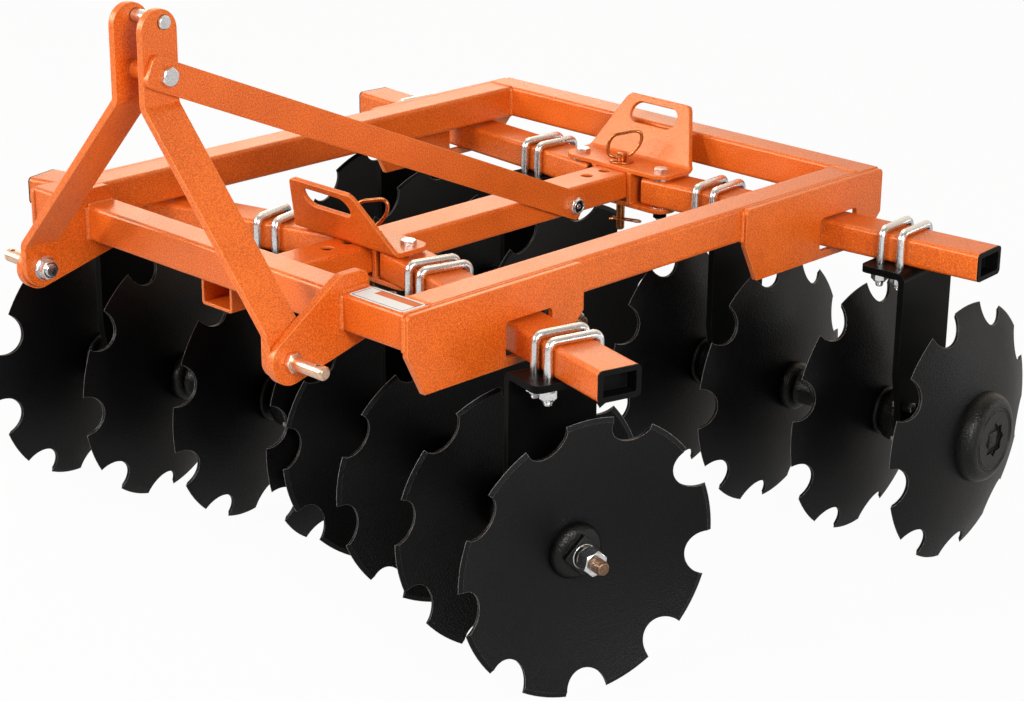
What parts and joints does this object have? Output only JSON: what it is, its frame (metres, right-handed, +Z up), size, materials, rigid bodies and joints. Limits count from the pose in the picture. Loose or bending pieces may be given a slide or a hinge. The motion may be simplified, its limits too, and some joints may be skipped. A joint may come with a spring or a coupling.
{
  "type": "disc harrow",
  "caption": "Compact mounted tandem disc harrow: a square tube frame with a three-point hitch mast, and notched disc gangs on swept beams whose angles are set by pinned sliding adjusters.",
  "frame": {"origin": "on the ground, half way along and across the welded tube frame", "axes": "+Z up, -Y forward to the hitch, +X to the machine's left"},
  "size_m": [1.6192, 1.4193, 1.026],
  "materials": {
    "frame_paint": "satin orange powder coat",
    "black_paint": "satin black",
    "disc_steel": "satin black",
    "bolt_steel": "zinc plated",
    "cap_plastic": "matte"
  },
  "bodies": {
    "frame": {"front_cross_tube": "frame_paint", "rear_cross_tube": "frame_paint", "left_side_rail": "frame_paint", "right_side_rail": "frame_paint", "left_guide_plates": "frame_paint", "right_guide_plates": "frame_paint", "centre_tube": "frame_paint", "hitch_lugs": "frame_paint", "mast_bars": "frame_paint", "mast_braces": "frame_paint", "mast_bolts": "bolt_steel", "top_link_pin": "bolt_steel", "lower_hitch_pins": "bolt_steel"},
    "front_adjuster": {"front_bracket": "frame_paint", "front_sleeve": "frame_paint", "front_pivot_bolts": "bolt_steel", "front_lock_pin": "bolt_steel"},
    "rear_adjuster": {"rear_bracket": "frame_paint", "rear_sleeve": "frame_paint", "rear_pivot_bolts": "bolt_steel", "rear_lock_pin": "bolt_steel"},
    "front_left_beam": {"front_left_beam": "frame_paint", "front_left_end_cap": "cap_plastic", "front_left_standards": "black_paint", "front_left_bearings": "black_paint", "front_left_u_bolts": "bolt_steel"},
    "front_left_gang": {"front_left_discs": "disc_steel", "front_left_spools": "black_paint", "front_left_axle": "black_paint"},
    "front_right_beam": {"front_right_beam": "frame_paint", "front_right_end_cap": "cap_plastic", "front_right_standards": "black_paint", "front_right_bearings": "black_paint", "front_right_u_bolts": "bolt_steel"},
    "front_right_gang": {"front_right_discs": "disc_steel", "front_right_spools": "black_paint", "front_right_axle": "black_paint"},
    "rear_left_beam": {"rear_left_beam": "frame_paint", "rear_left_end_cap": "cap_plastic", "rear_left_standards": "black_paint", "rear_left_bearings": "black_paint", "rear_left_u_bolts": "bolt_steel"},
    "rear_left_gang": {"rear_left_discs": "disc_steel", "rear_left_spools": "black_paint", "rear_left_axle": "black_paint"},
    "rear_right_beam": {"rear_right_beam": "frame_paint", "rear_right_end_cap": "cap_plastic", "rear_right_standards": "black_paint", "rear_right_bearings": "black_paint", "rear_right_u_bolts": "bolt_steel"},
    "rear_right_gang": {"rear_right_discs": "disc_steel", "rear_right_spools": "black_paint", "rear_right_axle": "black_paint"}
  },
  "joints": [
    {"name": "front_adjuster_slide", "type": "slide", "parent": "frame", "child": "front_adjuster", "axis": [0, -1, 0], "range_m": [0, 0.094]},
    {"name": "rear_adjuster_slide", "type": "slide", "parent": "frame", "child": "rear_adjuster", "axis": [0, -1, 0], "range_m": [0, 0.094]},
    {"name": "front_left_beam_pivot", "type": "hinge", "parent": "front_adjuster", "child": "front_left_beam", "pos_m": [0.097, -0.22742, 0.538], "axis": [0, 0, 1], "range_deg": [0, 14.5]},
    {"name": "front_left_gang_spin", "type": "hinge", "parent": "front_left_beam", "child": "front_left_gang", "pos_m": [0.3876, -0.30192, 0.2286], "axis": [0.9687, -0.2484, 0], "continuous": true},
    {"name": "front_right_beam_pivot", "type": "hinge", "parent": "front_adjuster", "child": "front_right_beam", "pos_m": [-0.097, -0.22742, 0.538], "axis": [0, 0, 1], "range_deg": [-14.5, 0]},
    {"name": "front_right_gang_spin", "type": "hinge", "parent": "front_right_beam", "child": "front_right_gang", "pos_m": [-0.3876, -0.30192, 0.2286], "axis": [-0.9687, -0.2484, 0], "continuous": true},
    {"name": "rear_left_beam_pivot", "type": "hinge", "parent": "rear_adjuster", "child": "rear_left_beam", "pos_m": [0.097, 0.40574, 0.538], "axis": [0, 0, 1], "range_deg": [0, 14.5]},
    {"name": "rear_left_gang_spin", "type": "hinge", "parent": "rear_left_beam", "child": "rear_left_gang", "pos_m": [0.39426, 0.45003, 0.2286], "axis": [0.9961, 0.0879, 0], "continuous": true},
    {"name": "rear_right_beam_pivot", "type": "hinge", "parent": "rear_adjuster", "child": "rear_right_beam", "pos_m": [-0.097, 0.40574, 0.538], "axis": [0, 0, 1], "range_deg": [-14.5, 0]},
    {"name": "rear_right_gang_spin", "type": "hinge", "parent": "rear_right_beam", "child": "rear_right_gang", "pos_m": [-0.39426, 0.45003, 0.2286], "axis": [-0.9961, 0.0879, 0], "continuous": true}
  ],
  "couplings": [
    {"joint": "front_left_beam_pivot", "follows": "front_adjuster_slide", "rad_per_m": 2.67},
    {"joint": "front_right_beam_pivot", "follows": "front_adjuster_slide", "rad_per_m": -2.67},
    {"joint": "rear_left_beam_pivot", "follows": "rear_adjuster_slide", "rad_per_m": 2.582},
    {"joint": "rear_right_beam_pivot", "follows": "rear_adjuster_slide", "rad_per_m": -2.582}
  ]
}
